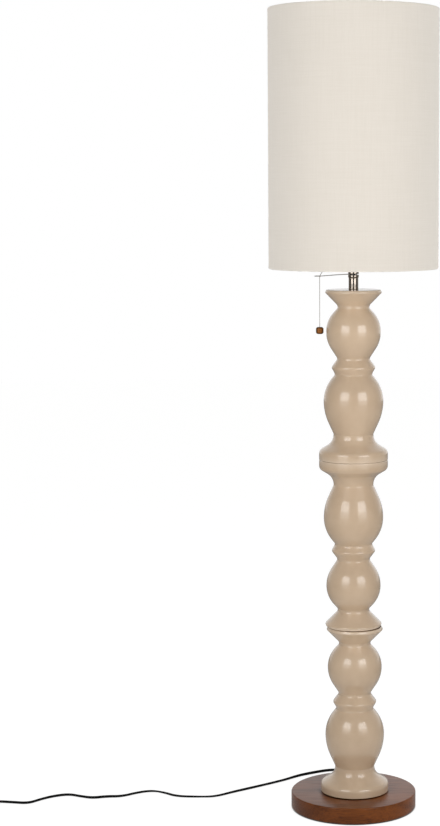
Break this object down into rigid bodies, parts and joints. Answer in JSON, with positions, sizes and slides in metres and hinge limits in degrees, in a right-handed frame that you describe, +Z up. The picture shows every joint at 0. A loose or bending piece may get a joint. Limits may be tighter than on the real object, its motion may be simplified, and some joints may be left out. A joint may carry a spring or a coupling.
{
  "type": "floor lamp",
  "caption": "Floor lamp with a stacked turned ceramic column on a round wooden foot, a tall fabric drum shade and a pull-cord switch guided by a wire arm.",
  "frame": {"origin": "on the floor under the rod's axis, at the centre of the felt's underside", "axes": "+Z up along the rod, the pull cord on the -X side, the mains lead leaves the foot towards +Y"},
  "size_m": [0.9992, 0.4065, 1.582],
  "materials": {
    "walnut": "satin",
    "felt": "matt",
    "iron": "raw",
    "zinc_steel": "zinc plated",
    "glaze": "gloss",
    "seal_rubber": "matt",
    "pale_seal": "matt",
    "polished_nickel": "polished",
    "bright_wire": "polished",
    "holder_plastic": "satin",
    "insert_ceramic": "matt",
    "brass": "plain",
    "lamp_cap": "plain",
    "bulb_glass": "frosted",
    "white_wire": "powder coat",
    "liner_plastic": "satin",
    "linen": "woven",
    "black_rubber": "satin",
    "black_flex": "satin",
    "black_plastic": "satin",
    "pin_metal": "nickel plated",
    "cord_fibre": "twisted",
    "bead_wood": "oiled"
  },
  "bodies": {
    "lamp": {"base_felt": "felt", "base_plate": "walnut", "base_weight": "iron", "threaded_rod": "zinc_steel", "base_washer": "zinc_steel", "base_nut": "zinc_steel", "segment_bottom": "glaze", "segment_middle": "glaze", "segment_top": "glaze", "foot_washer": "seal_rubber", "washer_upper": "pale_seal", "washer_lower": "seal_rubber", "neck_tube": "polished_nickel", "neck_collar": "polished_nickel", "guide_arm": "bright_wire", "holder_cap": "polished_nickel", "holder_switch": "holder_plastic", "holder_spout": "holder_plastic", "holder_sleeve": "holder_plastic", "holder_insert": "insert_ceramic", "screw_shell": "brass", "centre_contact": "brass", "bulb_cap": "lamp_cap", "bulb_glass": "bulb_glass", "shade_spider": "white_wire", "shade_top_ring": "white_wire", "shade_liner": "liner_plastic", "shade_fabric": "linen", "lower_shade_ring": "holder_plastic", "upper_shade_ring": "holder_plastic", "lead_grommet": "black_rubber", "inner_flex": "black_flex", "mains_lead": "black_flex", "lead_coil": "black_flex", "lead_tail": "black_flex", "plug_body": "black_plastic", "plug_pins": "pin_metal"},
    "cord_inner": {"pull_cord_inner": "cord_fibre"},
    "cord_eye": {"pull_cord_eye": "cord_fibre"},
    "cord_bead": {"pull_cord_drop": "cord_fibre", "pull_bead": "bead_wood", "bead_knot": "cord_fibre"}
  },
  "joints": [
    {"name": "pull_slide", "type": "slide", "parent": "lamp", "child": "cord_eye", "axis": [0, 0, -1], "range_m": [0, 0.012], "stiffness_N_per_m": 200},
    {"name": "inner_cord_slide", "type": "slide", "parent": "lamp", "child": "cord_inner", "axis": [-0.5235, 0, -0.852], "range_m": [0, 0.012]},
    {"name": "bead_swing", "type": "hinge", "parent": "cord_eye", "child": "cord_bead", "pos_m": [-0.0662, 0, 1.0526], "axis": [1, 0, 0], "range_deg": [-25, 25]}
  ],
  "couplings": [
    {"joint": "inner_cord_slide", "follows": "pull_slide", "ratio": 1}
  ]
}
